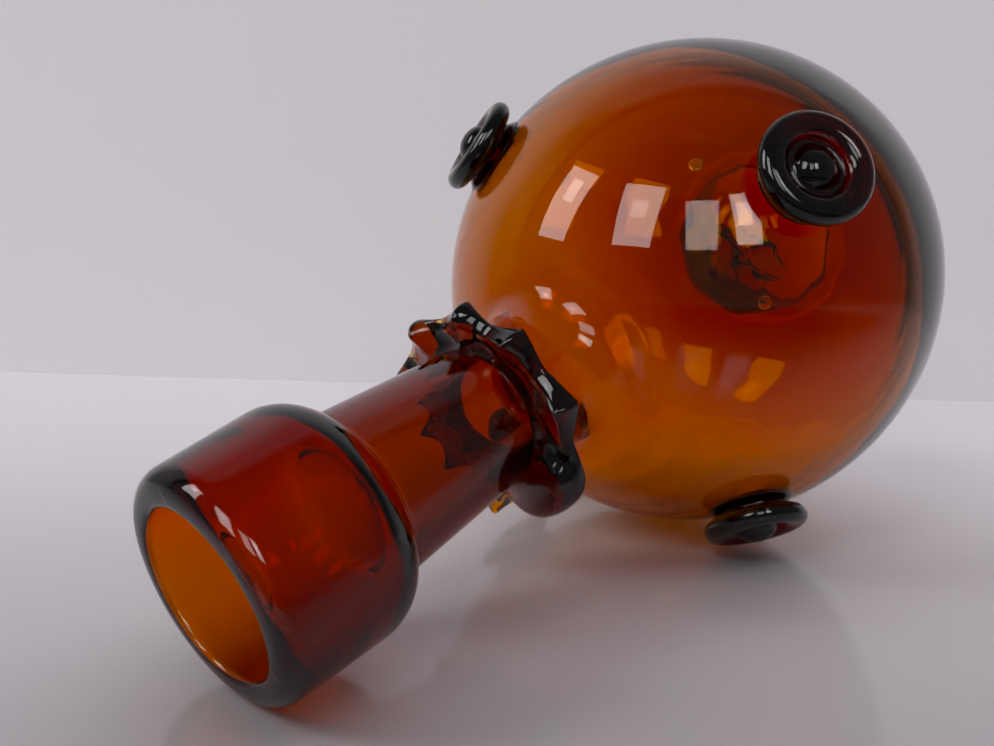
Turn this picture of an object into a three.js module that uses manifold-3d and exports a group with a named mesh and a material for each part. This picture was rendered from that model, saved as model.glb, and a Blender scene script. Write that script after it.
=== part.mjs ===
// Hand-blown amber glass decanter, standing upright.
// Millimetres, +Z up. The origin is the centre of the standing ring, on the
// surface the decanter stands on, and +Z runs up the axis through the mouth.
import * as THREE from 'three';
import { mergeVertices } from 'three/addons/utils/BufferGeometryUtils.js';
import Module from 'manifold-3d';

const wasm = await Module();
wasm.setup();

// ---------------------------------------------------------------- dimensions
const GLOBE_R = 75;              // outer radius of the globe at its equator
const GLOBE_POLAR = 76.9;        // half height of the globe, slightly taller than round
const GLOBE_Z = 69.7;            // height of the globe's centre
const HEIGHT = 250;              // standing ring to ground rim

const FOOT_IN = 26.8;            // flat standing ring, inner radius
const FOOT_OUT = 31.0;           // flat standing ring, outer radius
const KICK_R = 20.9;             // radius of the kick-up's hollow
const KICK_Z = 10.4;             // height at which the hollow is widest
const KICK_TOP = 24.8;           // height of the hollow's top
const KICK_GLASS_R = 27.6;       // radius of the kick-up's dome inside the globe
const KICK_GLASS_Z = 15;         // height of that dome's centre

// globe wall, measured towards the globe's centre, by height angle in degrees:
// thin on the shoulder, with the glass pooled towards the base
const WALL = [[62, 2.9], [52, 2.5], [40, 2.3], [28, 2.3], [16, 2.4], [6, 2.6], [-4, 3.1], [-13, 4.0],
  [-22, 5.4], [-31, 7.3], [-39, 9.3], [-47, 11.5], [-54, 13.4]];
const NECK_SPLIT_Z = 171;        // where globe and neck meet, under the collar
const NECK_ROOT_R = 17.85;       // neck outer radius at the collar
const FLARE_Z = 154.7;           // height at which the fillet from the globe ends upright
const FLARE_R = 17.75;           // neck outer radius there
const FLARE_UP = 15;             // radius of the fillet's upper part
const FLARE_LOW = 8;             // radius of its tighter, lower part
const FLARE_TURN = 44;           // slope from upright, in degrees, where the two meet
const NECK_TOP_R = 19.8;         // neck outer radius where it enters the mouth cup
const NECK_WALL = 5.4;           // neck wall
const CUP_Z = 215.6;             // underside of the mouth cup at the neck
const CUP_R_LOW = 26.55;         // cup outer radius above its shoulder
const CUP_R_TOP = 25.3;          // cup outer radius below its rim
const CUP_SHOULDER = 10.7;       // radius of the cup's round shoulder
const RIM_ROUND = 4.7;           // radius of the rim's outer edge
const MOUTH_R = 18.2;            // inner radius of the ground rim

const COLLAR_Z = 171;            // middle plane of the crimped collar
// the pinched points as the hand left them: bearing in degrees, reach, then the bearing and
// reach of the hollow after it. The blunt one is the lap of the trail's two ends.
const COLLAR_POINTS = [
  [-1.2, 28.4, 17.0, 25.6], [35.7, 28.3, 54.0, 25.4], [71.0, 28.6, 88.0, 25.3],
  [106.0, 28.7, 121.0, 25.0], [137.0, 30.4, 155.0, 24.2], [193.0, 31.2, 226.0, 27.2],
  [246.5, 30.4, 266.0, 25.7], [287.0, 29.3, 304.0, 25.2], [320.4, 28.9, 341.0, 25.4],
];
const COLLAR_LAP = 193.0;        // bearing of the lap
// bearing and spread, in degrees, of the places that are pinched thin
const COLLAR_THIN = [[18, 12], [137, 13], [219, 8], [344, 7]];

const PRUNT_RING_R = 11.45;      // radius of a prunt's ring, to the middle of its roll
const PRUNT_ROLL_OUT = 3.35;     // half width of the roll, outer side
const PRUNT_ROLL_IN = 3.9;       // half width of the roll, towards the dish
const PRUNT_ROLL_H = 3.1;        // half height of the roll
const PRUNT_RING_H = 4.85;       // height of the roll's middle above the globe
const PRUNT_BEAD_R = 6.0;        // radius of the central bead
const PRUNT_BEAD_H = 5.0;        // height of the bead above its middle
const PRUNT_DISH = 4.55;         // height of the dish's lowest circle
const PRUNT_WAIST_R = 9.9;       // radius of the waist below the ring
// each prunt's bearing and height angle in degrees, from the globe's centre, the height of
// its bead's middle above the globe, and the radius of its seat
const PRUNTS = {
  prunt_front: [-90.4, 25.9, 3.0, 12.0],
  prunt_right: [-0.2, 30.5, 5.2, 12.4],
  prunt_back: [97.9, 29.0, 4.6, 12.6],
  prunt_left: [178.4, 31.2, 5.0, 12.4],
};
const SCAR_R = 9.4;              // mean radius of the pontil scar
const SCAR_ASIDE = [-2.36, 1.85];  // how far the scar lies off the axis

const GAP = 0.3;                 // clearance left between fused pieces
const AROUND = 40;               // facets around the large turned pieces

// ------------------------------------------------------------------- helpers
const rad = (d) => (d * Math.PI) / 180;

// A closed body of revolution about +Z from a loop of [radius, z] points. The
// loop either starts and ends on the axis or closes on itself.
function turned(points, around) {
  const geometry = new THREE.LatheGeometry(
    points.map(([r, z]) => new THREE.Vector2(r, z)), around);
  geometry.rotateX(Math.PI / 2);
  return clean(geometry);
}

// Position-only geometry with shared vertices.
function clean(geometry) {
  geometry.deleteAttribute('normal');
  geometry.deleteAttribute('uv');
  return mergeVertices(geometry, 1e-3);
}

// Turns the faces outward if the signed volume says they point in, and drops
// the slivers that a lathe leaves on the axis.
function outward(geometry) {
  const p = geometry.attributes.position.array;
  const source = Array.from(geometry.index.array);
  const index = [];
  for (let i = 0; i < source.length; i += 3) {
    const [a, b, c] = source.slice(i, i + 3);
    if (a !== b && b !== c && c !== a) index.push(a, b, c);
  }
  let volume = 0;
  for (let i = 0; i < index.length; i += 3) {
    const [a, b, c] = [index[i] * 3, index[i + 1] * 3, index[i + 2] * 3];
    volume += p[a] * (p[b + 1] * p[c + 2] - p[b + 2] * p[c + 1])
      + p[a + 1] * (p[b + 2] * p[c] - p[b] * p[c + 2])
      + p[a + 2] * (p[b] * p[c + 1] - p[b + 1] * p[c]);
  }
  if (volume < 0) {
    for (let i = 0; i < index.length; i += 3) {
      const swap = index[i + 1];
      index[i + 1] = index[i + 2];
      index[i + 2] = swap;
    }
  }
  geometry.setIndex(index);
  return geometry;
}

function toSolid(geometry) {
  const g = outward(geometry);
  return new wasm.Manifold(new wasm.Mesh({
    numProp: 3,
    vertProperties: new Float32Array(g.attributes.position.array),
    triVerts: new Uint32Array(g.index.array),
  }));
}

function fromSolid(solid) {
  const mesh = solid.getMesh();
  const geometry = new THREE.BufferGeometry();
  geometry.setAttribute('position', new THREE.BufferAttribute(new Float32Array(mesh.vertProperties), 3));
  geometry.setIndex(Array.from(mesh.triVerts));
  return geometry;
}

// Smooth run of [radius, z] points through a few given ones.
function smooth(points, count) {
  const curve = new THREE.CatmullRomCurve3(
    points.map(([r, z]) => new THREE.Vector3(r, z, 0)), false, 'centripetal');
  return curve.getSpacedPoints(count).map((v) => [v.x, v.y]);
}

function arc(cx, cz, rx, rz, from, to, count) {
  const out = [];
  for (let i = 0; i <= count; i += 1) {
    const t = rad(from + ((to - from) * i) / count);
    out.push([cx + rx * Math.cos(t), cz + rz * Math.sin(t)]);
  }
  return out;
}

const neckOuter = (z) => NECK_ROOT_R
  + ((NECK_TOP_R - NECK_ROOT_R) * (z - NECK_SPLIT_Z)) / (CUP_Z - NECK_SPLIT_Z);

// point at a height angle on the globe, this far inside its outer skin
function globeSkin(lat, inset) {
  const c = Math.cos(rad(lat));
  const s = Math.sin(rad(lat));
  const reach = 1 / Math.hypot(c / GLOBE_R, s / GLOBE_POLAR) - inset;
  return [reach * c, GLOBE_Z + reach * s];
}

// ---------------------------------------------------------------- blown globe
// From the top of the kick-up's hollow, out over the standing ring, up the
// outside, over the split under the collar, down the inside and onto the dome.
const flare = [62, 53, 44, 33, 22, 11, 0].map((slope) => {
  const turn = rad(FLARE_TURN);
  const t = rad(slope);
  return slope > FLARE_TURN
    ? [FLARE_R + FLARE_UP * (1 - Math.cos(turn)) + FLARE_LOW * (Math.cos(turn) - Math.cos(t)),
      FLARE_Z - FLARE_UP * Math.sin(turn) - FLARE_LOW * (Math.sin(t) - Math.sin(turn))]
    : [FLARE_R + FLARE_UP * (1 - Math.cos(t)), FLARE_Z - FLARE_UP * Math.sin(t)];
});
const globeOutside = [
  [0, KICK_TOP],
  ...arc(0, KICK_Z, KICK_R, KICK_TOP - KICK_Z, 90, 0, 8).slice(1),
  ...smooth([[KICK_R, KICK_Z], [21.2, 7.6], [23.0, 3.9], [25.2, 1.3], [FOOT_IN, 0]], 4).slice(1),
  [FOOT_OUT, 0],
  ...arc(0, GLOBE_Z, GLOBE_R, GLOBE_POLAR, -64.2, 70.5, 21),
  ...flare,
  [17.6, 159.5],
  [17.6, 165.0],
  [NECK_ROOT_R, NECK_SPLIT_Z - GAP / 2],
];
const globeInside = [
  [NECK_ROOT_R - NECK_WALL, NECK_SPLIT_Z - GAP / 2],
  ...smooth([[12.1, 163.5], [12.4, 156.0], [13.9, 149.0], [16.9, 143.4], [20.6, 139.9],
    [24.6, 138.1], [29.0, 136.9]], 7),
  ...WALL.map(([lat, wall]) => globeSkin(lat, wall)),
  [31.8, 13.6],
  ...arc(0, KICK_GLASS_Z, KICK_GLASS_R, KICK_GLASS_R, 4, 84, 8),
  [0, KICK_GLASS_Z + KICK_GLASS_R],
];
const globeGeometry = outward(turned([...globeOutside, ...globeInside], AROUND));

// ----------------------------------------------------------------------- neck
const neckLow = NECK_SPLIT_Z + GAP / 2;
const neckHigh = CUP_Z - GAP / 2;
const neckGeometry = outward(turned([
  [neckOuter(neckLow), neckLow],
  [neckOuter(186), 186],
  [neckOuter(201), 201],
  [neckOuter(neckHigh), neckHigh],
  [neckOuter(neckHigh) - NECK_WALL, neckHigh],
  [neckOuter(201) - NECK_WALL, 201],
  [neckOuter(186) - NECK_WALL, 186],
  [NECK_ROOT_R - NECK_WALL, neckLow],
  [neckOuter(neckLow), neckLow],
], AROUND));

// ------------------------------------------------------------------ mouth cup
const cupLow = CUP_Z + GAP / 2;
const shoulderR = CUP_R_LOW - CUP_SHOULDER;   // centre of the shoulder's round
const shoulderZ = cupLow - 1.3 + CUP_SHOULDER;
const shoulder = arc(shoulderR, shoulderZ, CUP_SHOULDER, CUP_SHOULDER, -61, 0, 6);
const rim = arc(CUP_R_TOP - RIM_ROUND, HEIGHT - RIM_ROUND, RIM_ROUND, RIM_ROUND, 0, 90, 6);
const cupBoreLow = NECK_TOP_R - NECK_WALL;
const cupGeometry = outward(turned([
  [cupBoreLow, cupLow],
  [shoulder[0][0] - 0.9, cupLow],
  ...shoulder,
  ...rim,
  [MOUTH_R + 0.7, HEIGHT],
  [MOUTH_R, HEIGHT - 0.9],
  ...smooth([[MOUTH_R + 0.1, HEIGHT - 6], [18.4, 238], [18.6, 231], [18.4, 225.5], [17.6, 221.8],
    [16.1, 218.9], [14.8, 216.6]], 8),
  [cupBoreLow, cupLow],
], AROUND));

// --------------------------------------------------------------------- collar
// A ring of glass pinched out into points. Every bearing has one closed
// section, drawn from the neck outwards, so the ring is one closed body.
function collarPlace(bearing) {
  const b = ((((bearing + 1.2) % 360) + 360) % 360) - 1.2;
  const first = COLLAR_POINTS[0];
  const ring = [...COLLAR_POINTS, [first[0] + 360, first[1], first[2], first[3]]];
  let k = 0;
  while (b >= ring[k + 1][0]) k += 1;
  const [tip, reach, low, lowReach] = ring[k];
  const [nextTip, nextReach] = ring[k + 1];
  const mine = b < low;
  const t = mine ? (b - tip) / (low - tip) : (nextTip - b) / (nextTip - low);
  const top = mine ? reach : nextReach;
  if ((mine ? tip : nextTip) === COLLAR_LAP) {
    const g = Math.max(0, 1 - t ** 2.2) ** 1.3;
    return { reach: lowReach + (top - lowReach) * g, point: 0.55 * g, lap: g };
  }
  return { reach: lowReach + (top - lowReach) * (1 - t) ** 1.55, point: (1 - t) ** 2.3, lap: 0 };
}

function collar() {
  const steps = 96;
  const sections = [];
  for (let i = 0; i < steps; i += 1) {
    const bearing = (360 * i) / steps;
    const a = rad(bearing);
    const place = collarPlace(bearing);
    const { point, lap } = place;
    const reach = place.reach + 0.18 * Math.sin(7 * a + 1.0) + 0.1 * Math.sin(17 * a);
    const z = COLLAR_Z + 0.35 * Math.sin(a + 2.2) + 0.3 * Math.sin(5 * a + 0.4);
    const crease = reach - (2.3 + 0.5 * point + 1.2 * lap);
    const pinch = 1 - Math.max(point, lap);
    const thin = Math.max(...COLLAR_THIN.map(([at, spread]) => {
      const off = ((((bearing - at + 180) % 360) + 360) % 360) - 180;
      return Math.exp(-((off / spread) ** 2));
    }));
    const inner = (h) => neckOuter(Math.max(h, NECK_SPLIT_Z)) + GAP;
    const section = [
      [inner(z + 2.3), z + 2.3],
      [20.4, z + 1.5 + 1.3 * point + 2.2 * lap - 0.5 * pinch],
      [(20.4 + crease) / 2 + 0.2, z + 1.6 + 2.3 * point + 2.6 * lap - 0.6 * pinch],
      [crease, z + 2.3 + 2.5 * point + 1.9 * lap - 0.7 * pinch],
      [reach - 0.9 - 0.3 * lap, z + 1.35 + 1.9 * point + 1.3 * lap - 0.7 * pinch],
      [reach, z - 0.75 + 0.5 * point],
      [reach - 1.3, z - 1.75 - 0.9 * point - 1.4 * lap + 0.5 * pinch],
      [(19.8 + reach) / 2, z - 2.5 - 1.2 * point - 1.6 * lap],
      [19.4, z - 3.5 - 0.6 * point - 0.6 * lap],
      [inner(z - 5.6), z - 5.6],
    ].map(([r, h]) => {
      const squeeze = 1 - 0.66 * thin * Math.min(1, Math.max(0, (r - 20.5) / 3.5));
      return [r, z - 0.7 + (h - (z - 0.7)) * squeeze];
    });
    sections.push(section.map(([r, h]) => [r * Math.cos(a), r * Math.sin(a), h]));
  }
  const n = sections[0].length;
  const positions = sections.flat(2);
  const index = [];
  for (let i = 0; i < steps; i += 1) {
    const j = (i + 1) % steps;
    for (let k = 0; k < n; k += 1) {
      const l = (k + 1) % n;
      index.push(i * n + k, j * n + k, i * n + l, i * n + l, j * n + k, j * n + l);
    }
  }
  const geometry = new THREE.BufferGeometry();
  geometry.setAttribute('position', new THREE.BufferAttribute(new Float32Array(positions), 3));
  geometry.setIndex(index);
  return outward(geometry);
}
const collarGeometry = collar();

// --------------------------------------------------------------------- prunts
// The stamped drop: foot, waist, rolled ring, dish and bead. It is turned about
// +Z with its underside sunk below the globe's skin, then the globe is cut away.
function pruntProfile(beadMid, seat) {
  const foot = (Math.asin(Math.max(0.12, (5.0 - beadMid) / PRUNT_BEAD_H)) * 180) / Math.PI;
  return [
    [0, -4],
    [seat - 0.6, -4],
    [seat, -0.9],
    [(seat + PRUNT_WAIST_R) / 2, 0.1],
    [PRUNT_WAIST_R, 1.4],
    ...arc(PRUNT_RING_R, PRUNT_RING_H, PRUNT_ROLL_OUT, PRUNT_ROLL_H, -100, 90, 9),
    ...arc(PRUNT_RING_R, PRUNT_RING_H, PRUNT_ROLL_IN, PRUNT_ROLL_H, 112, 160, 3),
    [7.2, PRUNT_DISH + 0.25],
    [6.5, PRUNT_DISH],
    ...arc(0, beadMid, PRUNT_BEAD_R, PRUNT_BEAD_H, foot, 74, 4),
    [0, beadMid + PRUNT_BEAD_H],
  ];
}
const globeCutter = clean(new THREE.SphereGeometry(1, 96, 64));
globeCutter.rotateX(Math.PI / 2);
globeCutter.scale(GLOBE_R + GAP + 0.1, GLOBE_R + GAP + 0.1, GLOBE_POLAR + GAP + 0.1);

function prunt(bearing, height, beadMid, seat) {
  const up = new THREE.Vector3(
    Math.cos(rad(height)) * Math.cos(rad(bearing)),
    Math.cos(rad(height)) * Math.sin(rad(bearing)),
    Math.sin(rad(height)));
  // distance from the globe's centre to its skin along this direction
  const reach = 1 / Math.sqrt((up.x ** 2 + up.y ** 2) / GLOBE_R ** 2 + up.z ** 2 / GLOBE_POLAR ** 2);
  const body = turned(pruntProfile(beadMid, seat), 28);
  body.applyMatrix4(new THREE.Matrix4().makeTranslation(0, 0, reach));
  body.applyQuaternion(new THREE.Quaternion().setFromUnitVectors(new THREE.Vector3(0, 0, 1), up));
  const cut = toSolid(body).subtract(toSolid(globeCutter.clone()));
  return fromSolid(cut);
}

// ---------------------------------------------------------------- pontil scar
// The jagged rest of the gathering iron's glass, under the top of the kick-up.
function pontilScar() {
  const around = 26;
  const rings = [0.36, 0.7, 1].map((part) => part * SCAR_R);
  const offset = SCAR_ASIDE;
  // fixed scatter between 0 and 1, so that the break looks uneven but never changes
  const scatter = (i, k) => {
    const v = Math.sin(i * 12.9898 + k * 78.233) * 43758.5453;
    return v - Math.floor(v);
  };
  const positions = [];
  const skin = (x, y) => KICK_Z - GAP - 0.1
    + (KICK_TOP - KICK_Z) * Math.sqrt(1 - (x * x + y * y) / KICK_R ** 2);
  const put = (x, y, z) => { positions.push(x, y, z); return positions.length / 3 - 1; };
  const topCentre = put(offset[0], offset[1], skin(offset[0], offset[1]));
  const lowCentre = put(offset[0], offset[1], skin(offset[0], offset[1]) - 2.0);
  const top = [];
  const low = [];
  rings.forEach((r, k) => {
    const a = [];
    const b = [];
    for (let i = 0; i < around; i += 1) {
      const t = (2 * Math.PI * i) / around;
      const wobble = r * (1 + 0.08 * k * (scatter(i, k + 7) - 0.5) + 0.07 * k * Math.sin(t * 2 + 0.7));
      const x = offset[0] + wobble * Math.cos(t);
      const y = offset[1] + wobble * Math.sin(t);
      a.push(put(x, y, skin(x, y)));
      const depth = [1.4, 1.7, 0.9][k] + [1.4, 2.4, 0.8][k] * scatter(i, k);
      b.push(put(x, y, skin(x, y) - depth));
    }
    top.push(a);
    low.push(b);
  });
  const index = [];
  for (let i = 0; i < around; i += 1) {
    const j = (i + 1) % around;
    index.push(topCentre, top[0][i], top[0][j]);
    index.push(lowCentre, low[0][j], low[0][i]);
    for (let k = 0; k + 1 < rings.length; k += 1) {
      index.push(top[k][i], top[k + 1][i], top[k][j], top[k][j], top[k + 1][i], top[k + 1][j]);
      index.push(low[k][i], low[k][j], low[k + 1][i], low[k][j], low[k + 1][j], low[k + 1][i]);
    }
    const e = rings.length - 1;
    index.push(top[e][i], low[e][i], top[e][j], top[e][j], low[e][i], low[e][j]);
  }
  const geometry = new THREE.BufferGeometry();
  geometry.setAttribute('position', new THREE.BufferAttribute(new Float32Array(positions), 3));
  geometry.setIndex(index);
  return outward(geometry);
}

// ------------------------------------------------------------------- assembly
const decanter = new THREE.Group();

function add(name, geometry, color, roughness) {
  geometry.computeVertexNormals();
  const material = new THREE.MeshStandardMaterial({ color, roughness, metalness: 0 });
  const mesh = new THREE.Mesh(geometry, material);
  mesh.name = name;
  decanter.add(mesh);
  return mesh;
}

add('globe', globeGeometry, 0x9a5212, 0.05);
add('neck', neckGeometry, 0x6e2410, 0.05);
add('mouth_cup', cupGeometry, 0x5c1a0a, 0.06);
add('collar', collarGeometry, 0x3a140c, 0.06);
for (const [name, place] of Object.entries(PRUNTS)) {
  const mesh = add(name, prunt(...place), 0x24100e, 0.05);
  mesh.position.set(0, 0, GLOBE_Z);
}
add('pontil_scar', pontilScar(), 0x6a2c0c, 0.12);

export default decanter;
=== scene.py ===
import math

import bpy
import numpy as np
from mathutils import Matrix, Vector


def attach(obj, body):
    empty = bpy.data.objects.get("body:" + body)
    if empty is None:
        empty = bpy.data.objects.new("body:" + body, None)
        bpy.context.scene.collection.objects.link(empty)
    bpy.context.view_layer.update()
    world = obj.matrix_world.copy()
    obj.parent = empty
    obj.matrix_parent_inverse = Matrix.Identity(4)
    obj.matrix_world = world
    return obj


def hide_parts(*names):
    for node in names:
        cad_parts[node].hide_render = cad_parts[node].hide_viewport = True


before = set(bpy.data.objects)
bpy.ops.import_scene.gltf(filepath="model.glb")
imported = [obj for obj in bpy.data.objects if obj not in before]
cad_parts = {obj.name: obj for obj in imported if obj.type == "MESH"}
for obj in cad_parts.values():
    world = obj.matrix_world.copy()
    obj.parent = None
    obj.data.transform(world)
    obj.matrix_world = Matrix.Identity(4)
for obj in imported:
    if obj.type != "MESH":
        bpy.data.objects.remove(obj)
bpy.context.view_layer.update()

# Everything below is drawn in millimetres in the part's own frame: the origin is the
# centre of the standing ring and +Z runs up the axis, out through the mouth.
MM = 0.001

# ------------------------------------------------------------------ dimensions
GLOBE_R, GLOBE_POLAR, GLOBE_Z = 75.0, 76.9, 69.7
HEIGHT = 250.0
KICK_R, KICK_Z, KICK_TOP = 20.9, 10.4, 24.8   # hollow under the base: radius, its middle, its top
DOME_R, DOME_Z = 27.6, 15.0                   # the same kick-up as it stands inside the globe
RING_LOW = 29.0                       # radius at which the base touches the table
NECK_LOW_R, NECK_LOW_Z = 17.85, 171.0
FLARE_UP, FLARE_LOW, FLARE_TURN = 15.0, 8.0, 44.0   # fillet between neck and globe: upper and lower radius, where they meet
NECK_TOP_R, NECK_TOP_Z = 19.8, 215.6
NECK_WALL = 5.4
CUP_R_LOW, CUP_R_TOP, CUP_ROUND, RIM_ROUND = 26.55, 25.3, 10.7, 4.7
MOUTH_R = 18.2
COLLAR_Z = 171.0
# the collar's points as the hand left them: bearing, reach, bearing and reach of the hollow
# after it. The blunt one is the lap where the trail's two ends meet.
COLLAR_POINTS = [
    (-1.2, 28.4, 17.0, 25.6), (35.7, 28.3, 54.0, 25.4), (71.0, 28.6, 88.0, 25.3), (106.0, 28.7, 121.0, 25.0),
    (137.0, 30.4, 155.0, 24.2), (193.0, 31.2, 226.0, 27.2), (246.5, 30.4, 266.0, 25.7), (287.0, 29.3, 304.0, 25.2),
    (320.4, 28.9, 341.0, 25.4),
]
COLLAR_LAP = 193.0
COLLAR_THIN = ((18.0, 12.0), (137.0, 13.0), (219.0, 8.0), (342.0, 10.0))   # bearing and spread of its thin places
PRUNTS = {
    # bearing, height angle, height of the bead's middle, radius of the seat
    "prunt_front": (-90.4, 25.9, 3.0, 12.0),
    "prunt_right": (-0.2, 30.5, 5.2, 12.4),
    "prunt_back": (97.9, 29.0, 4.6, 12.6),
    "prunt_left": (178.4, 31.2, 5.0, 12.4),
}

# the table top that the decanter lies on, and the wall behind it
TABLE_N = Vector((0.752602, -0.587996, -0.296394))
TABLE_P = Vector((-57.999, 45.314, 92.542))
FOLD_L = Vector((214.1, 360.6, 158.1))
FOLD_R = Vector((-161.0, 84.5, -246.7))


# -------------------------------------------------------------------- geometry
def arc(cx, cz, rx, rz, a0, a1, n):
    t = np.radians(np.linspace(a0, a1, n))
    return np.stack([cx + rx * np.cos(t), cz + rz * np.sin(t)], 1)


def catmull(points, per=12):
    """Smooth curve through the points, centripetal."""
    p = np.asarray(points, float)
    p = np.vstack([2 * p[0] - p[1], p, 2 * p[-1] - p[-2]])
    out = []
    for i in range(1, len(p) - 2):
        a, b, c, d = p[i - 1], p[i], p[i + 1], p[i + 2]
        t0 = 0.0
        t1 = t0 + math.sqrt(np.linalg.norm(b - a)) + 1e-9
        t2 = t1 + math.sqrt(np.linalg.norm(c - b)) + 1e-9
        t3 = t2 + math.sqrt(np.linalg.norm(d - c)) + 1e-9
        for t in np.linspace(t1, t2, per, endpoint=False):
            a1 = (t1 - t) / (t1 - t0) * a + (t - t0) / (t1 - t0) * b
            a2 = (t2 - t) / (t2 - t1) * b + (t - t1) / (t2 - t1) * c
            a3 = (t3 - t) / (t3 - t2) * c + (t - t2) / (t3 - t2) * d
            b1 = (t2 - t) / (t2 - t0) * a1 + (t - t0) / (t2 - t0) * a2
            b2 = (t3 - t) / (t3 - t1) * a2 + (t - t1) / (t3 - t1) * a3
            out.append((t2 - t) / (t2 - t1) * b1 + (t - t1) / (t2 - t1) * b2)
    out.append(p[-2])
    return np.array(out)


def along(points):
    """Distance run along a line of points."""
    return np.concatenate([[0], np.cumsum(np.linalg.norm(np.diff(points, axis=0), axis=1))])


def resample(points, step):
    s = along(points)
    n = max(2, int(round(s[-1] / step)) + 1)
    t = np.linspace(0, s[-1], n)
    return np.stack([np.interp(t, s, points[:, k]) for k in range(points.shape[1])], 1)


def soften(points, sigma, step=0.15):
    """Rounds a line of [radius, z] points as a flame does, ends held on the axis."""
    p = resample(points, step)
    k = int(4 * sigma / step)
    if k < 1:
        return p
    w = np.exp(-0.5 * (np.arange(-k, k + 1) * step / sigma) ** 2)
    w /= w.sum()
    mirror = np.array([-1.0, 1.0])
    head = p[1:k + 1][::-1] * mirror
    tail = p[-k - 1:-1][::-1] * mirror
    q = np.vstack([head, p, tail])
    out = np.stack([np.convolve(q[:, j], w, "valid") for j in range(2)], 1)
    out[0, 0] = out[-1, 0] = 0.0
    return out


def thin_out(points, turn=2.0, longest=3.0):
    """Keeps fewer points where the line runs straight."""
    keep = [0]
    d = np.diff(points, axis=0)
    ang = np.unwrap(np.arctan2(d[:, 1], d[:, 0]))
    s = along(points)
    last_a, last_s = ang[0], 0.0
    for i in range(1, len(points) - 1):
        if abs(math.degrees(ang[i] - last_a)) >= turn or s[i] - last_s >= longest:
            keep.append(i)
            last_a, last_s = ang[i], s[i]
    keep.append(len(points) - 1)
    return points[keep]


def mesh_object(name, verts, faces, material, smooth=True):
    mesh = bpy.data.meshes.new(name)
    mesh.from_pydata([tuple(v) for v in np.asarray(verts) * MM], [], faces)
    mesh.validate()
    mesh.update()
    if smooth:
        mesh.shade_smooth()
    obj = bpy.data.objects.new(name, mesh)
    bpy.context.scene.collection.objects.link(obj)
    if material is not None:
        mesh.materials.append(material)
    return obj


def revolve(profile, around, warp=None):
    """Vertices and faces of a closed body turned about +Z. The profile starts and ends on
    the axis. warp(points) may move the points; it takes and returns an array of x, y, z."""
    n = len(profile)
    bearings = np.arange(around) * 2 * np.pi / around
    r, z = profile[1:-1, 0], profile[1:-1, 1]
    body = np.stack([
        r[:, None] * np.cos(bearings)[None], r[:, None] * np.sin(bearings)[None],
        np.repeat(z[:, None], around, 1)], 2).reshape(-1, 3)
    verts = np.vstack([[0, 0, profile[0, 1]], body, [0, 0, profile[-1, 1]]])
    if warp:
        verts = warp(verts)
    i = np.arange(around)
    j = (i + 1) % around
    faces = [(0, 1 + p, 1 + q) for p, q in zip(i, j)]
    for k in range(n - 3):
        a, b = 1 + k * around, 1 + (k + 1) * around
        faces += np.stack([a + i, b + i, b + j, a + j], 1).tolist()
    last, a = len(verts) - 1, 1 + (n - 3) * around
    faces += [(a + p, last, a + q) for p, q in zip(i, j)]
    return verts, faces


def volume(verts, faces):
    tri = []
    for f in faces:
        tri.append(f[:3])
        if len(f) == 4:
            tri.append((f[0], f[2], f[3]))
    t = verts[np.array(tri)]
    return np.einsum("ij,ij->i", t[:, 0], np.cross(t[:, 1], t[:, 2])).sum() / 6


def facing_out(verts, faces):
    return faces if volume(verts, faces) > 0 else [tuple(reversed(f)) for f in faces]


# ------------------------------------------------------------------- materials
def new_material(name):
    m = bpy.data.materials.new(name)
    m.use_nodes = True
    nt = m.node_tree
    nt.nodes.clear()
    return m, nt, nt.nodes, nt.links


ABSORB = (83.0, 284.0, 830.0)         # how fast the glass takes up red, green, blue, per metre


def glass_material(name, strength=1.0, ripple=0.02, scale=60.0, rough=0.004, takes=ABSORB):
    m, nt, nodes, links = new_material(name)
    out = nodes.new("ShaderNodeOutputMaterial")
    bsdf = nodes.new("ShaderNodeBsdfPrincipled")
    bsdf.inputs["Base Color"].default_value = (1, 1, 1, 1)
    bsdf.inputs["Transmission Weight"].default_value = 1.0
    bsdf.inputs["IOR"].default_value = 1.51
    bsdf.inputs["Roughness"].default_value = rough
    links.new(bsdf.outputs[0], out.inputs["Surface"])
    vol = nodes.new("ShaderNodeVolumeAbsorption")
    top = takes[2] * 1.02
    vol.inputs["Color"].default_value = (*[1 - a / top for a in takes], 1)
    vol.inputs["Density"].default_value = top * strength
    links.new(vol.outputs[0], out.inputs["Volume"])
    if ripple:
        tex = nodes.new("ShaderNodeTexCoord")
        noise = nodes.new("ShaderNodeTexNoise")
        noise.inputs["Scale"].default_value = scale
        noise.inputs["Detail"].default_value = 2.0
        links.new(tex.outputs["Object"], noise.inputs["Vector"])
        bump = nodes.new("ShaderNodeBump")
        bump.inputs["Strength"].default_value = ripple
        bump.inputs["Distance"].default_value = 0.001
        links.new(noise.outputs[0], bump.inputs["Height"])
        links.new(bump.outputs[0], bsdf.inputs["Normal"])
    return m


amber = glass_material("amber_glass")
amber_collar = glass_material("amber_collar_glass", strength=2.2, ripple=0.03, scale=120.0, takes=(112.0, 275.0, 830.0))
amber_trail = glass_material("amber_trail_glass", strength=5.2, ripple=0.03, scale=120.0)
# painted shade: near-black glass for the sheet in the kick-up's wall that makes its dark crescent
painted_shade_cord = glass_material("painted_shade_cord_glass", strength=16.0, ripple=0, rough=0.0)
smoky_core = glass_material("smoky_core_glass", strength=0.95, ripple=0, rough=0.0, takes=(95.0, 106.0, 122.0))
for inside in (painted_shade_cord, smoky_core):
    inside.node_tree.nodes["Principled BSDF"].inputs["IOR"].default_value = 1.0   # it lies inside other glass
amber_broken = glass_material("amber_broken_glass", ripple=0.2, scale=400.0, rough=0.02)


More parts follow.
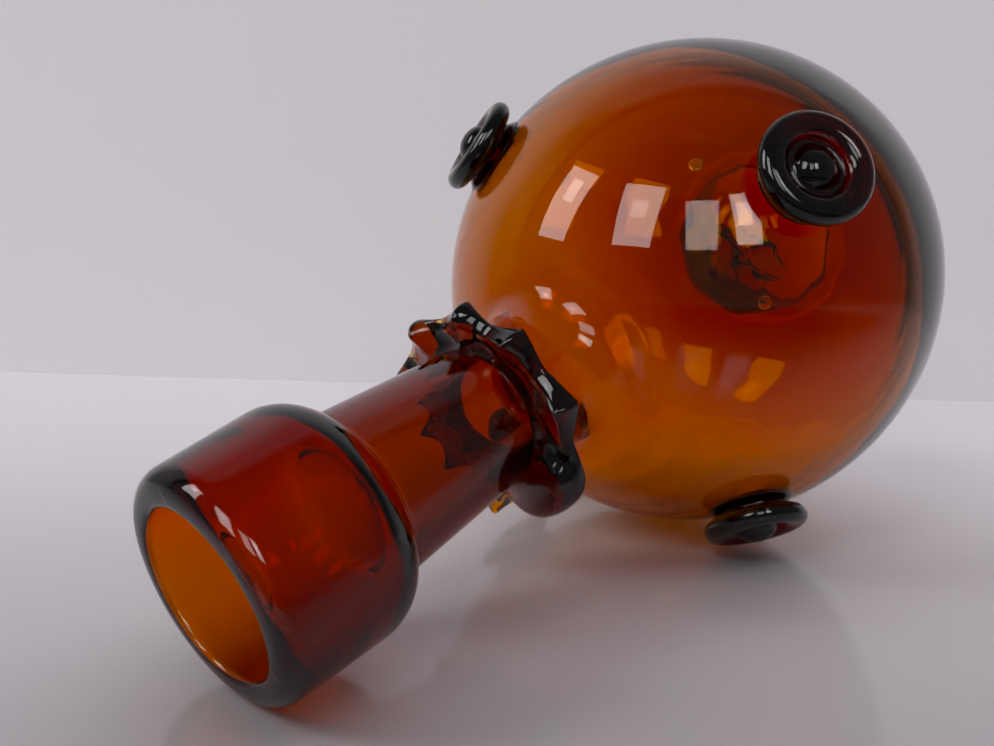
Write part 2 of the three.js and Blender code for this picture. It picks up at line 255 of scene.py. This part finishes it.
# ------------------------------------------------------------- vessel: profile
def neck_r(z):
    return NECK_LOW_R + (NECK_TOP_R - NECK_LOW_R) * (z - NECK_LOW_Z) / (NECK_TOP_Z - NECK_LOW_Z)


# wall thickness of the globe along the line from its centre, by height angle
WALL_LAT = np.array([-62, -54, -47, -39, -31, -22, -13, -4, 6, 16, 28, 40, 52, 62])
WALL_MM = np.array([15.4, 13.4, 11.5, 9.3, 7.3, 5.4, 4.0, 3.1, 2.6, 2.4, 2.3, 2.3, 2.5, 2.9])


def globe_at(lat, inset=0.0):
    t = math.radians(lat)
    c, s = math.cos(t), math.sin(t)
    reach = 1 / math.sqrt((c / GLOBE_R) ** 2 + (s / GLOBE_POLAR) ** 2) - inset
    return [reach * c, GLOBE_Z + reach * s]


def flare(el0, el1, r, z, upper, lower, turn, n):
    """The hollow fillet that ends upright at radius r and height z: the tighter, lower part
    first. el0 and el1 are its slopes at the two ends, from upright."""
    t = np.radians(np.linspace(el0, el1, n))
    k = math.radians(turn)
    r1, z1 = r + upper * (1 - math.cos(k)), z - upper * math.sin(k)
    low = t > k
    return np.stack([np.where(low, r1 + lower * (math.cos(k) - np.cos(t)), r + upper * (1 - np.cos(t))),
                     np.where(low, z1 - lower * (np.sin(t) - math.sin(k)), z - upper * np.sin(t))], 1)


def vessel_profile():
    outside = np.vstack([
        arc(0, KICK_Z, KICK_R, KICK_TOP - KICK_Z, 90, 8, 60),
        catmull([[KICK_R, KICK_Z], [21.2, 7.6], [23.0, 3.9], [25.9, 1.1], [RING_LOW, 0.0], [31.2, 0.25]])[1:],
        np.array([globe_at(a) for a in np.linspace(-63.2, 71.0, 200)]),
        flare(70, 4, 17.75, 154.7, FLARE_UP, FLARE_LOW, FLARE_TURN, 50),
        [[17.6, 158.5], [17.6, 165.0], [NECK_LOW_R, NECK_LOW_Z]],
        [[neck_r(186), 186], [neck_r(201), 201], [neck_r(215.0), 215.0]],
        arc(CUP_R_LOW - CUP_ROUND, 214.4 + CUP_ROUND, CUP_ROUND, CUP_ROUND, -64, 0, 24),
        arc(CUP_R_TOP - RIM_ROUND, HEIGHT - RIM_ROUND, RIM_ROUND, RIM_ROUND, 0, 90, 24),
        [[19.6, HEIGHT]],
    ])
    inside = np.vstack([
        arc(MOUTH_R + 1.1, HEIGHT - 1.1, 1.1, 1.1, 90, 180, 8),
        catmull([[MOUTH_R + 0.1, 244], [18.4, 238], [18.6, 231], [18.4, 225.5], [17.6, 221.8], [16.1, 218.9], [14.8, 216.4],
                 [neck_r(212) - NECK_WALL, 212], [neck_r(200) - NECK_WALL, 200], [neck_r(186) - NECK_WALL, 186],
                 [neck_r(171) - NECK_WALL, 171], [12.1, 163.5], [12.4, 156.0], [13.9, 149.0], [16.9, 143.4], [20.6, 139.9],
                 [24.6, 138.1], [29.0, 136.9], [33.0, 135.3]]),
        np.array([globe_at(a, np.interp(a, WALL_LAT, WALL_MM)) for a in np.linspace(60.5, -57, 160)]),
        [[31.8, 13.4]],
        arc(0, DOME_Z, DOME_R, DOME_R, 3, 90, 60),
    ])
    # the whole line is rounded afterwards, everywhere alike, as a flame would
    return np.vstack([outside, inside])


def dome_swell(points):
    """The kick-up's dome is fuller on its back, where the rod leaned."""
    n = points - np.array([0, 0, DOME_Z])
    far = np.linalg.norm(n, axis=1)
    n = n / np.maximum(far, 1e-6)[:, None]
    to = np.array([-0.02, 0.77, 0.64])
    turn = np.degrees(np.arccos(np.clip(n @ (to / np.linalg.norm(to)), -1, 1)))
    near = np.clip((far - 22.0) / 2.0, 0, 1) * np.clip((34.0 - far) / 3.0, 0, 1) * np.clip((points[:, 2] - 14.0) / 8.0, 0, 1)
    return points + n * (2.7 * np.exp(-(turn / 38.0) ** 2) * near)[:, None]


def hand_made(verts, profile, around):
    """The small waves and the lean that free blowing leaves. The inner skin waves more
    than the outer one, so the wall is a little uneven."""
    inner = np.arange(len(profile)) > int(np.argmax(profile[:, 1]))
    inner = np.concatenate([[inner[0]], np.repeat(inner[1:-1], around), [inner[-1]]])
    v = verts.copy()
    a = np.arctan2(v[:, 1], v[:, 0])
    r, z = np.hypot(v[:, 0], v[:, 1]), v[:, 2]
    wave = (0.45 * np.sin(2 * a + 0.6 + z * 0.021) + 0.3 * np.sin(3 * a - 1.1 - z * 0.034)
            + 0.2 * np.sin(5 * a + 2.0 + z * 0.06) + 0.12 * np.sin(9 * a + z * 0.11))
    calm = np.clip(r / 12.0, 0, 1)
    size = np.where(inner, np.where(z > 214, 0.30, 0.16), 0.06) * calm
    # where the neck was drawn out of the globe the inner skin is more uneven
    root = np.where(inner, np.exp(-((z - 138.5) / 4.5) ** 2) * np.exp(-((r - 27) / 8.0) ** 2), 0.0)
    pull = root * (0.20 * np.sin(4 * a + 0.9 + 0.25 * r) + 0.10 * np.sin(7 * a - 0.5 - 0.3 * r))
    v[:, 2] += pull
    # the rings that turning the blowpipe leaves inside the shoulder
    high = np.clip((z - 88) / 25, 0, 1) * np.clip((150 - z) / 14, 0, 1) * inner
    rings = high * (0.045 * np.sin(0.95 * z + 0.9 * np.sin(2 * a + 0.4)) + 0.03 * np.sin(1.75 * z + 1.3 * np.sin(a - 0.7)) + 0.02 * np.sin(15 * a + 0.3 * z))
    v[:, 0] += rings * np.cos(a)
    v[:, 1] += rings * np.sin(a)
    grow = 1 + wave * size / np.maximum(r, 1e-6)
    v[:, 0] *= grow
    v[:, 1] *= grow
    up = np.clip((z - 150) / 100, 0, 1)
    v[:, 0] += 1.1 * up * math.cos(math.radians(-169))
    v[:, 1] += 1.1 * up * math.sin(math.radians(-169))
    deep = np.concatenate([[False], np.repeat((profile[1:-1, 1] < 46) & (profile[1:-1, 0] < 34), around), [True]]) & inner
    v[deep] = dome_swell(v[deep])
    return v


def blister(bearing, lat, depth, wide, thick):
    """A bubble caught in the wall, pressed flat along it, with its faces turned inwards."""
    t, b = math.radians(lat), math.radians(bearing)
    up = np.array([math.cos(t) * math.cos(b), math.cos(t) * math.sin(b), math.sin(t)])
    side = np.array([-math.sin(b), math.cos(b), 0.0])
    top = np.cross(up, side)
    at = np.array([0, 0, GLOBE_Z]) + up / math.sqrt((up[0] ** 2 + up[1] ** 2) / GLOBE_R ** 2 + up[2] ** 2 / GLOBE_POLAR ** 2) - up * depth
    rings = 10 if wide > 1.5 else 5
    t = np.linspace(90, -90, rings + 1)
    prof = np.stack([wide / 2 * np.cos(np.radians(t)), thick / 2 * np.sin(np.radians(t))], 1)
    prof[0, 0] = prof[-1, 0] = 0.0
    v, f = revolve(prof, 28 if wide > 1.5 else 10)
    f = facing_out(v, f)
    return v @ np.array([side, top, up]) + at, [tuple(reversed(q)) for q in f]


def painted_shade_streak():
    """A sheet of near-black glass in the wall of the kick-up, over its top and down its back, set round the line to the
    camera: painted shade that stands in for the dark crescent at the kick-up's thick edge.
    """
    pole = Vector((-0.047, -0.479, 0.876))
    side = Vector((-0.142, 0.872, 0.469))
    pole, side, third = (np.array(q.normalized()) for q in (pole, side, pole.cross(side)))
    turn, rise = np.linspace(-62, 72, 61), np.linspace(0, 1, 17)
    outer, inner = [], []
    for k, p in enumerate(turn):
        end = abs(p - 5) / 67
        low = 51 + 27 * end ** 2.2 + 1.6 * math.sin(k * 0.9) + 1.1 * math.sin(k * 2.3 + 1)
        t = np.radians(low + (91 - low) * rise)
        q = math.radians(p)
        n = (np.cos(t)[:, None] * pole + np.sin(t)[:, None] * (math.cos(q) * side + math.sin(q) * third))
        thick = 0.03 + 2.1 * np.minimum(1, 2.6 * np.sin(np.pi * rise)) * (1 - end ** 4)
        outer.append(n * (DOME_R - 0.5))
        inner.append(n * (DOME_R - 0.5 - thick)[:, None])
    m, c = len(rise), len(rise) * len(turn)
    verts = dome_swell(np.vstack([np.vstack(outer), np.vstack(inner)]) + np.array([0, 0, DOME_Z]))
    faces = []
    for i in range(len(turn) - 1):
        for j in range(m - 1):
            a, b, d, e = i * m + j, (i + 1) * m + j, (i + 1) * m + j + 1, i * m + j + 1
            faces += [(a, b, d, e), (c + a, c + e, c + d, c + b)]
        a, b = i * m, (i + 1) * m
        faces += [(a, c + a, c + b, b), (a + m - 1, b + m - 1, c + b + m - 1, c + a + m - 1)]
    for j in range(m - 1):
        a, b = j, (len(turn) - 1) * m + j
        faces += [(a, a + 1, c + a + 1, c + a), (b, c + b, c + b + 1, b + 1)]
    return verts, facing_out(verts, faces)


def neck_core():
    """The smokier glass in the middle of the neck's wall, thinned out at both ends."""
    around = 160
    z = np.linspace(165.0, 217.0, 40)
    mid = 17.75 + (z - 171.0).clip(0) * (NECK_TOP_R - NECK_LOW_R) / (NECK_TOP_Z - NECK_LOW_Z) - 2.5
    half = 0.03 + 1.1 * np.clip((z - 165.0) / 7.0, 0, 1) * np.clip((217.0 - z) / 6.0, 0, 1)
    loop = np.vstack([np.stack([mid + half, z], 1), np.stack([mid - half, z], 1)[::-1]])
    a = 2 * np.pi * np.arange(around)[:, None] / around
    verts = np.stack([loop[:, 0] * np.cos(a), loop[:, 0] * np.sin(a), np.broadcast_to(loop[:, 1], (around, len(loop)))], 2).reshape(-1, 3)
    up = np.clip((verts[:, 2] - 150) / 100, 0, 1)
    verts[:, 0] += 1.1 * up * math.cos(math.radians(-169))
    verts[:, 1] += 1.1 * up * math.sin(math.radians(-169))
    m = len(loop)
    faces = [(i * m + k, i * m + (k + 1) % m, (i + 1) % around * m + (k + 1) % m, (i + 1) % around * m + k)
             for i in range(around) for k in range(m)]
    return verts, facing_out(verts, faces)


profile = thin_out(soften(vessel_profile(), 0.6), turn=1.6, longest=2.0)
verts, faces = revolve(profile, 256)
faces = facing_out(verts, faces)
verts = hand_made(verts, profile, 256)
rng = np.random.default_rng(7)
bubbles = [(-110.5, 44.3, 1.1, 3.4, 0.3), (-72.4, 39.0, 1.1, 3.6, 0.3)]
bubbles += [(rng.uniform(-180, 180), rng.uniform(-35, 58), rng.uniform(0.7, 1.5), w, w * 0.7) for w in rng.uniform(0.25, 0.7, 34)]
parts_v, parts_f, base = [verts], list(faces), len(verts)
for spec in bubbles:
    v, f = blister(*spec)
    parts_v.append(v)
    parts_f += [tuple(i + base for i in q) for q in f]
    base += len(v)
# painted shade: a near-black sheet in the kick-up's wall, placed round the line to the camera so that it shows as the
# dark crescent there
v, f = painted_shade_streak()
painted_shade_from = len(parts_f)
parts_v.append(v)
parts_f += [tuple(i + base for i in q) for q in f]
base += len(v)
v, f = neck_core()
core_from = len(parts_f)
parts_v.append(v)
parts_f += [tuple(i + base for i in q) for q in f]
vessel = mesh_object("vessel", np.vstack(parts_v), parts_f, amber)
vessel.data.materials.append(painted_shade_cord)
vessel.data.materials.append(smoky_core)
for poly in vessel.data.polygons[painted_shade_from:]:
    poly.material_index = 2 if poly.index >= core_from else 1
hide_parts("globe", "neck", "mouth_cup")
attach(vessel, "root")


# --------------------------------------------------------------------- collar
def collar_place(bearing):
    """How far the collar reaches at a bearing, how much of a point there is (1 on it, 0 in
    the hollow) and how much of the blunt lap."""
    b = (bearing + 1.2) % 360 - 1.2
    pts = COLLAR_POINTS + [(COLLAR_POINTS[0][0] + 360, *COLLAR_POINTS[0][1:])]
    for (tip, reach, low, low_r), (tip2, reach2, _, _) in zip(pts, pts[1:]):
        if b < tip2:
            break
    near_first = b < low
    t = (b - tip) / (low - tip) if near_first else (tip2 - b) / (tip2 - low)
    mine, top = (tip, reach) if near_first else (tip2, reach2)
    if mine == COLLAR_LAP:
        g = (1 - t ** 2.2) ** 1.3
        return low_r + (top - low_r) * g, 0.55 * g, g
    return low_r + (top - low_r) * (1 - t) ** 1.55, (1 - t) ** 2.3, 0.0


def collar_mesh():
    around, parts = 540, 64
    rows = []
    for k in range(around):
        b = 360.0 * k / around
        reach, point, lap = collar_place(b)
        a = math.radians(b)
        reach += 0.18 * math.sin(7 * a + 1.0) + 0.10 * math.sin(17 * a)
        lift = 0.35 * math.sin(a + 2.2) + 0.30 * math.sin(5 * a + 0.4)
        z = COLLAR_Z + lift
        crease = reach - (2.3 + 0.5 * point + 1.2 * lap)
        edge = 0.35 + 0.75 * point + 1.0 * lap
        pinch = 1 - max(point, lap)
        sec = np.array([
            [17.2, z + 2.3],
            [18.3, z + 1.9 + 0.6 * point + 1.4 * lap],
            [20.4, z + 1.5 + 1.3 * point + 2.2 * lap - 0.5 * pinch],
            [(20.4 + crease) / 2 + 0.2, z + 1.6 + 2.3 * point + 2.6 * lap - 0.6 * pinch],
            [crease, z + 2.3 + 2.5 * point + 1.9 * lap - 0.7 * pinch],
            [reach - 0.9 - 0.3 * lap, z + 1.35 + 1.9 * point + 1.3 * lap - 0.7 * pinch],
            [reach - 0.12, z - 0.25 + 0.9 * point + edge * 0.5],
            [reach, z - 0.75 + 0.5 * point],
            [reach - 0.15, z - 1.1 - edge * 0.6],
            [reach - 1.3, z - 1.75 - 0.9 * point - 1.4 * lap + 0.5 * pinch],
            [(19.8 + reach) / 2, z - 2.5 - 1.2 * point - 1.6 * lap],
            [19.4, z - 3.5 - 0.6 * point - 0.6 * lap],
            [17.9, z - 4.8],
            [17.2, z - 5.6],
        ])
        # where the pincers drew the glass thin the light comes through yellow
        thin = max(math.exp(-((((b - at + 180) % 360) - 180) / wide) ** 2) for at, wide in COLLAR_THIN)
        squeeze = 1 - 0.66 * thin * np.clip((sec[:, 0] - 20.5) / 3.5, 0, 1)
        sec[:, 1] = (z - 0.7) + (sec[:, 1] - (z - 0.7)) * squeeze
        line = catmull(sec, 10)
        rows.append(np.stack([
            np.interp(np.linspace(0, along(line)[-1], parts), along(line), line[:, j]) for j in range(2)], 1))
    g = np.array(rows)
    # the flame softens the crests between two pinches
    w = np.exp(-0.5 * (np.arange(-6, 7) / 1.4) ** 2)
    w /= w.sum()
    g = sum(wi * np.roll(g, s, axis=0) for wi, s in zip(w, range(-6, 7)))
    a = np.radians(360.0 * np.arange(around) / around)[:, None]
    # each crest leans a little to one side on its way in to the neck
    a = a + np.radians(2.2) * np.clip((27 - g[..., 0]) / 9, 0, 1)
    verts = np.stack([g[..., 0] * np.cos(a), g[..., 0] * np.sin(a), g[..., 1]], 2)
    faces = []
    i = np.arange(around)
    j = (i + 1) % around
    for k in range(parts):
        l = (k + 1) % parts
        faces += np.stack([i * parts + k, i * parts + l, j * parts + l, j * parts + k], 1).tolist()
    return verts.reshape(-1, 3), faces


v, f = collar_mesh()
collar = mesh_object("collar_glass", v, facing_out(v, f), amber_collar)
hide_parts("collar")
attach(collar, "root")


# --------------------------------------------------------------------- prunts
def prunt_profile(bead_z, seat):
    """A disc with a rolled edge, dished in to a bead whose middle stands at height bead_z, and a seat of the given radius."""
    # it is melted right through the wall, so its seat shows from inside the globe
    f = bead_z
    foot = math.degrees(math.asin(max(0.12, (5.0 - f) / 4.9)))
    return np.vstack([
        [[0, -2.75], [4.0, -2.86], [8.0, -3.2], [seat - 1.9, -3.6], [seat - 0.7, -2.2], [seat - 0.15, -1.35]],
        catmull([[seat, -0.9], [seat - 0.5, -0.45], [(seat + 9.9) / 2, 0.1], [10.2, 0.9], [9.9, 1.5]], 6)[:-1],
        arc(11.45, 4.85, 3.2, 2.95, -102, 90, 40),
        arc(11.45, 4.85, 3.9, 2.95, 94, 166, 18),
        catmull([[7.5, 5.15], [7.1, 4.75], [6.5, 4.55], [6.0, 4.75]], 7),
        arc(0, f, 6.0, 4.9, foot, 90, 24),
    ])


def frame_on_globe(bearing, lat):
    b, t = math.radians(bearing), math.radians(lat)
    up = Vector((math.cos(t) * math.cos(b), math.cos(t) * math.sin(b), math.sin(t)))
    reach = 1 / math.sqrt((up.x ** 2 + up.y ** 2) / GLOBE_R ** 2 + up.z ** 2 / GLOBE_POLAR ** 2)
    side = Vector((-math.sin(b), math.cos(b), 0))
    m = Matrix((side, up.cross(side), up)).transposed()
    return np.array(m), np.array(up * reach) + np.array([0, 0, GLOBE_Z])


for name, (bearing, lat, bead_z, seat) in PRUNTS.items():
    prof = thin_out(soften(prunt_profile(bead_z, seat), 0.35, 0.08), turn=4.0, longest=0.8)
    v, f = revolve(prof, 96)
    rot, at = frame_on_globe(bearing, lat)
    v = v @ rot.T + at
    obj = mesh_object(name + "_glass", v, facing_out(v, f), amber_trail)
    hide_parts(name)
    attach(obj, "root")


# ---------------------------------------------------------------- pontil scar
def hollow_top(r):
    return KICK_Z + (KICK_TOP - KICK_Z) * np.sqrt(np.maximum(0, 1 - (r / KICK_R) ** 2))


def scar_mesh():
    """The broken end of the gather that held the base, left under the top of the kick-up."""
    pick = np.random.default_rng(21)
    around, rings = 20, 5
    rim = 9.4 + 1.5 * np.sin(2 * np.pi * np.arange(around) / around * 2 + 0.7) + pick.uniform(-1.1, 1.1, around)
    cx, cy = 3.0 * math.cos(math.radians(142)), 3.0 * math.sin(math.radians(142))
    top, low = [], []
    for k in range(1, rings + 1):
        f = k / rings
        jag = pick.uniform(-0.6, 0.6, around)
        ang = 2 * np.pi * (np.arange(around) + 0.6 * jag) / around
        x, y = cx + rim * f * np.cos(ang), cy + rim * f * np.sin(ang)
        z = hollow_top(np.hypot(x, y))
        # chunks stand up to 3 mm high round the edge, and the middle is torn low
        tall = 0.4 + 1.3 * np.abs(np.sin(1.5 * ang + 0.8)) ** 3 * math.sin(math.pi * min(1, f * 1.05)) ** 0.6 + pick.uniform(0, 0.7, around) * (f > 0.25)
        tall = tall * (1.0 if k < rings else 0.35)
        top.append(np.stack([x, y, z + 0.25], 1))
        low.append(np.stack([x, y, z - tall], 1))
    centre = float(hollow_top(np.hypot(cx, cy)))
    verts = [np.array([[cx, cy, centre + 0.25]])] + top + [np.array([[cx, cy, centre - 0.9]])] + low
    verts = np.vstack(verts)
    i = np.arange(around)
    j = (i + 1) % around
    faces = []
    b0 = 1 + rings * around
    for base, flip in ((0, False), (b0, True)):
        fan = [(base, base + 1 + p, base + 1 + q) for p, q in zip(i, j)]
        skin = []
        for k in range(rings - 1):
            a, b = base + 1 + k * around, base + 1 + (k + 1) * around
            skin += [(a + p, b + p, b + q) for p, q in zip(i, j)] + [(a + p, b + q, a + q) for p, q in zip(i, j)]
        faces += [tuple(reversed(t)) for t in fan + skin] if flip else fan + skin
    a, b = 1 + (rings - 1) * around, b0 + 1 + (rings - 1) * around
    faces += [(a + p, b + p, b + q) for p, q in zip(i, j)] + [(a + p, b + q, a + q) for p, q in zip(i, j)]
    return verts, faces


v, f = scar_mesh()
scar = mesh_object("pontil_scar_glass", v, facing_out(v, f), amber_broken, smooth=False)
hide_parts("pontil_scar")
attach(scar, "root")

# ----------------------------------------------------------------------- stage
CAM_RIGHT = Vector((-0.588637, -0.494776, -0.639299))
CAM_UP = Vector((0.801526, -0.460103, -0.381918))
CAM_BACK = Vector((-0.105180, -0.737227, 0.667409))
CAM_AT = Vector((-0.015447, -0.155989, 0.300154))


def pale_material(name, color, rough, two_sided):
    m, nt, nodes, links = new_material(name)
    out = nodes.new("ShaderNodeOutputMaterial")
    bsdf = nodes.new("ShaderNodeBsdfPrincipled")
    bsdf.inputs["Base Color"].default_value = (*color, 1)
    bsdf.inputs["Roughness"].default_value = rough
    bsdf.inputs["IOR"].default_value = 1.45
    if two_sided:
        links.new(bsdf.outputs[0], out.inputs["Surface"])
    else:
        geo = nodes.new("ShaderNodeNewGeometry")
        clear = nodes.new("ShaderNodeBsdfTransparent")
        mix = nodes.new("ShaderNodeMixShader")
        links.new(geo.outputs["Backfacing"], mix.inputs[0])
        links.new(bsdf.outputs[0], mix.inputs[1])
        links.new(clear.outputs[0], mix.inputs[2])
        links.new(mix.outputs[0], out.inputs["Surface"])
    return m


def flat(name, corners, material, facing):
    """A single rectangle whose front looks along the given direction."""
    c = [np.array(p, float) for p in corners]
    n = np.cross(c[1] - c[0], c[2] - c[1])
    if np.dot(n, np.array(facing)) < 0:
        c = c[::-1]
    o = mesh_object(name, c, [(0, 1, 2, 3)], material, smooth=False)
    return o


run = (FOLD_R - FOLD_L).normalized()          # along the fold, to the image's right
run = (run - TABLE_N * run.dot(TABLE_N)).normalized()
toward = TABLE_N.cross(run).normalized()      # on the table, from the fold to the camera
if toward.dot(CAM_BACK) < 0:
    toward = -toward
fold_mid = (FOLD_L + FOLD_R) / 2
fold_mid = fold_mid - TABLE_N * (fold_mid - TABLE_P).dot(TABLE_N)
W, NEAR, TALL = 3000.0, 2600.0, 2600.0
table_mat = pale_material("pale_table", (0.80, 0.785, 0.80), 0.10, False)
wall_mat = pale_material("pale_wall", (0.775, 0.755, 0.78), 0.6, False)


def paint_falloff_shade(material, axis, start, end, low):
    """Paints shade into a stage material: darker beyond a distance, along an axis through fold_mid, where the room's
    light falls off.
    """
    nt = material.node_tree
    nodes, links = nt.nodes, nt.links
    bsdf = next(n for n in nodes if n.type == "BSDF_PRINCIPLED")
    base = bsdf.inputs["Base Color"]
    tex = nodes.new("ShaderNodeTexCoord")
    dot = nodes.new("ShaderNodeVectorMath")
    dot.operation = "DOT_PRODUCT"
    dot.inputs[1].default_value = tuple(axis)
    links.new(tex.outputs["Object"], dot.inputs[0])
    ramp = nodes.new("ShaderNodeMapRange")
    ramp.interpolation_type = "SMOOTHSTEP"
    off = Vector(axis).dot(fold_mid)
    ramp.inputs["From Min"].default_value = (start + off) * MM
    ramp.inputs["From Max"].default_value = (end + off) * MM
    ramp.inputs["To Min"].default_value = 1.0
    ramp.inputs["To Max"].default_value = low
    links.new(dot.outputs["Value"], ramp.inputs["Value"])
    scale = nodes.new("ShaderNodeVectorMath")
    scale.operation = "SCALE"
    if base.is_linked:
        links.new(base.links[0].from_socket, scale.inputs[0])
    else:
        scale.inputs[0].default_value = base.default_value[:3]
    links.new(ramp.outputs["Result"], scale.inputs["Scale"])
    links.new(scale.outputs[0], base)


# painted shade: the wall darker higher up and to the left, the table darker towards its near end, where the room's
# light falls off
paint_falloff_shade(wall_mat, TABLE_N, 330, 900, 0.40)
paint_falloff_shade(wall_mat, -run, 320, 700, 0.35)
paint_falloff_shade(table_mat, toward, 900, 1500, 0.35)
flat("table_top", [fold_mid - run * W, fold_mid + run * W, fold_mid + run * W + toward * NEAR, fold_mid - run * W + toward * NEAR], table_mat, TABLE_N)
flat("back_wall", [fold_mid - run * W, fold_mid + run * W, fold_mid + run * W + TABLE_N * TALL, fold_mid - run * W + TABLE_N * TALL], wall_mat, toward)


# ---------------------------------------------------------------------- lights
def softbox(name, centre, aim, up, width, height, radiance, color=(1, 1, 1)):
    data = bpy.data.lights.new(name, "AREA")
    data.shape = "RECTANGLE"
    data.size, data.size_y = width * MM, height * MM
    data.energy = radiance * math.pi * (width * MM) * (height * MM)
    data.color = color
    o = bpy.data.objects.new(name, data)
    bpy.context.scene.collection.objects.link(o)
    back = (Vector(centre) - Vector(aim)).normalized()
    right = Vector(up).cross(back).normalized()
    u = back.cross(right)
    m = Matrix((right, u, back)).transposed().to_4x4()
    m.translation = Vector(centre) * MM
    o.matrix_world = m
    o.visible_camera = False
    return o


AIM = Vector((10, -20, 110))
D1 = Vector((0.868, -0.046, 0.494)).normalized()
D2 = Vector((0.560, -0.534, 0.634)).normalized()
FAR = 2200.0
softbox("window_1", AIM + D1 * FAR, AIM, TABLE_N, 0.267 * FAR, 0.507 * FAR, 4.6, (1.0, 0.98, 0.98))
softbox("window_2", AIM + D2 * FAR, AIM, TABLE_N, 0.300 * FAR, 0.480 * FAR, 4.6, (1.0, 0.98, 0.98))


def from_table(bearing, height):
    """A direction given by its bearing from `toward`, positive along `run`, and its height angle."""
    b, h = math.radians(bearing), math.radians(height)
    return (run * math.sin(b) + toward * math.cos(b)) * math.cos(h) + TABLE_N * math.sin(h)


softbox("window_3", AIM + from_table(-6, 30) * FAR, AIM, TABLE_N, 0.235 * FAR, 0.38 * FAR, 3.4, (0.97, 0.98, 1.0))
softbox("window_4", AIM + from_table(15.5, 32) * FAR, AIM, TABLE_N, 0.19 * FAR, 0.38 * FAR, 5.0, (1.0, 0.99, 0.97))
# the brightest part of each pane, where the sky is
softbox("sky_1", AIM + (D1 + TABLE_N * 0.10 + run * 0.03) * (FAR - 40), AIM, TABLE_N, 0.10 * FAR, 0.16 * FAR, 4.0, (1.0, 0.99, 0.98))
softbox("sky_2", AIM + (D2 + TABLE_N * 0.06) * (FAR - 40), AIM, TABLE_N, 0.12 * FAR, 0.14 * FAR, 2.5, (1.0, 0.99, 0.98))
softbox("sky_4", AIM + from_table(14.5, 34) * (FAR - 40), AIM, TABLE_N, 0.10 * FAR, 0.17 * FAR, 3.5, (1.0, 0.99, 0.98))


def place(along_fold, out, height):
    """A point given along the fold, out from it over the table, and above the table."""
    return fold_mid + run * along_fold + toward * out + TABLE_N * height


# soft light that reaches the table and the wall but isn't seen in the glass
for name, centre, aim, width, height, radiance in (
    ("fill_side", place(1500, 700, 700), place(0, 100, 100), 900, 900, 0.25),
    ("fill_near", place(420, 250, 520), place(200, 60, 80), 500, 400, 0.45),
    ("fill_top", place(0, 350, 1500), place(0, 250, 0), 2000, 1600, 0.80),
):
    o = softbox(name, centre, aim, TABLE_N, width, height, radiance, (0.98, 0.95, 1.0))
    o.visible_glossy = False
    o.visible_transmission = False

# a flag that shades the near end of the table
dark, _, nodes, links = new_material("flag_black")
surface = nodes.new("ShaderNodeBsdfDiffuse")
surface.inputs["Color"].default_value = (0, 0, 0, 1)
links.new(surface.outputs[0], nodes.new("ShaderNodeOutputMaterial").inputs["Surface"])
flag = flat("flag", [place(-1200, 430, 160), place(700, 430, 160), place(700, 1300, 160), place(-1200, 1300, 160)], dark, -TABLE_N)
flag.visible_camera = flag.visible_glossy = flag.visible_transmission = False

# the room's pale ceiling, for a camera that looks away from the table
glow, _, nodes, links = new_material("pale_ceiling")
surface = nodes.new("ShaderNodeEmission")
surface.inputs["Color"].default_value = (0.97, 0.95, 0.98, 1)
surface.inputs["Strength"].default_value = 0.50
links.new(surface.outputs[0], nodes.new("ShaderNodeOutputMaterial").inputs["Surface"])
ceiling = flat("ceiling", [place(-5200, -3600, 4600), place(5200, -3600, 4600), place(5200, 5200, 4600), place(-5200, 5200, 4600)], glow, -TABLE_N)
ceiling.visible_glossy = ceiling.visible_diffuse = ceiling.visible_shadow = False

world = bpy.data.worlds.new("room")
bpy.context.scene.world = world
world.use_nodes = True
bg = world.node_tree.nodes["Background"]
bg.inputs[0].default_value = (0.97, 0.96, 1.0, 1)
bg.inputs[1].default_value = 0.125

# ---------------------------------------------------------------------- camera
cam = bpy.data.cameras.new("camera")
cam.sensor_width = 36.0
cam.lens = 828.0 / 994.0 * 36.0
cam.clip_start, cam.clip_end = 0.005, 50.0
cam_obj = bpy.data.objects.new("camera", cam)
bpy.context.scene.collection.objects.link(cam_obj)
m = Matrix((CAM_RIGHT, CAM_UP, CAM_BACK)).transposed().to_4x4()
m.translation = CAM_AT
cam_obj.matrix_world = m
bpy.context.scene.camera = cam_obj

# -------------------------------------------------------------------- rendering
scene = bpy.context.scene
cy = scene.cycles
cy.max_bounces = 28
cy.transmission_bounces = 28
cy.glossy_bounces = 16
cy.diffuse_bounces = 4
cy.transparent_max_bounces = 12
cy.volume_bounces = 0
cy.caustics_reflective = True
cy.caustics_refractive = True
cy.blur_glossy = 0.3
cy.sample_clamp_indirect = 8.0
cy.sample_clamp_direct = 0.0
cy.use_denoising = True
cy.denoiser = "OPENIMAGEDENOISE"
cy.denoising_input_passes = "RGB_ALBEDO_NORMAL"
scene.view_settings.view_transform = "Standard"
scene.view_settings.look = "None"
scene.view_settings.exposure = 0.0
scene.view_settings.gamma = 1.0

# the camera's own colour: a little more saturation and contrast than the light itself
scene.use_nodes = True
tree = scene.node_tree
tree.nodes.clear()
layers = tree.nodes.new("CompositorNodeRLayers")
grade = tree.nodes.new("CompositorNodeColorCorrection")
grade.master_saturation = 1.22
grade.master_contrast = 1.0
final = tree.nodes.new("CompositorNodeComposite")
tree.links.new(layers.outputs["Image"], grade.inputs["Image"])
tree.links.new(grade.outputs[0], final.inputs["Image"])
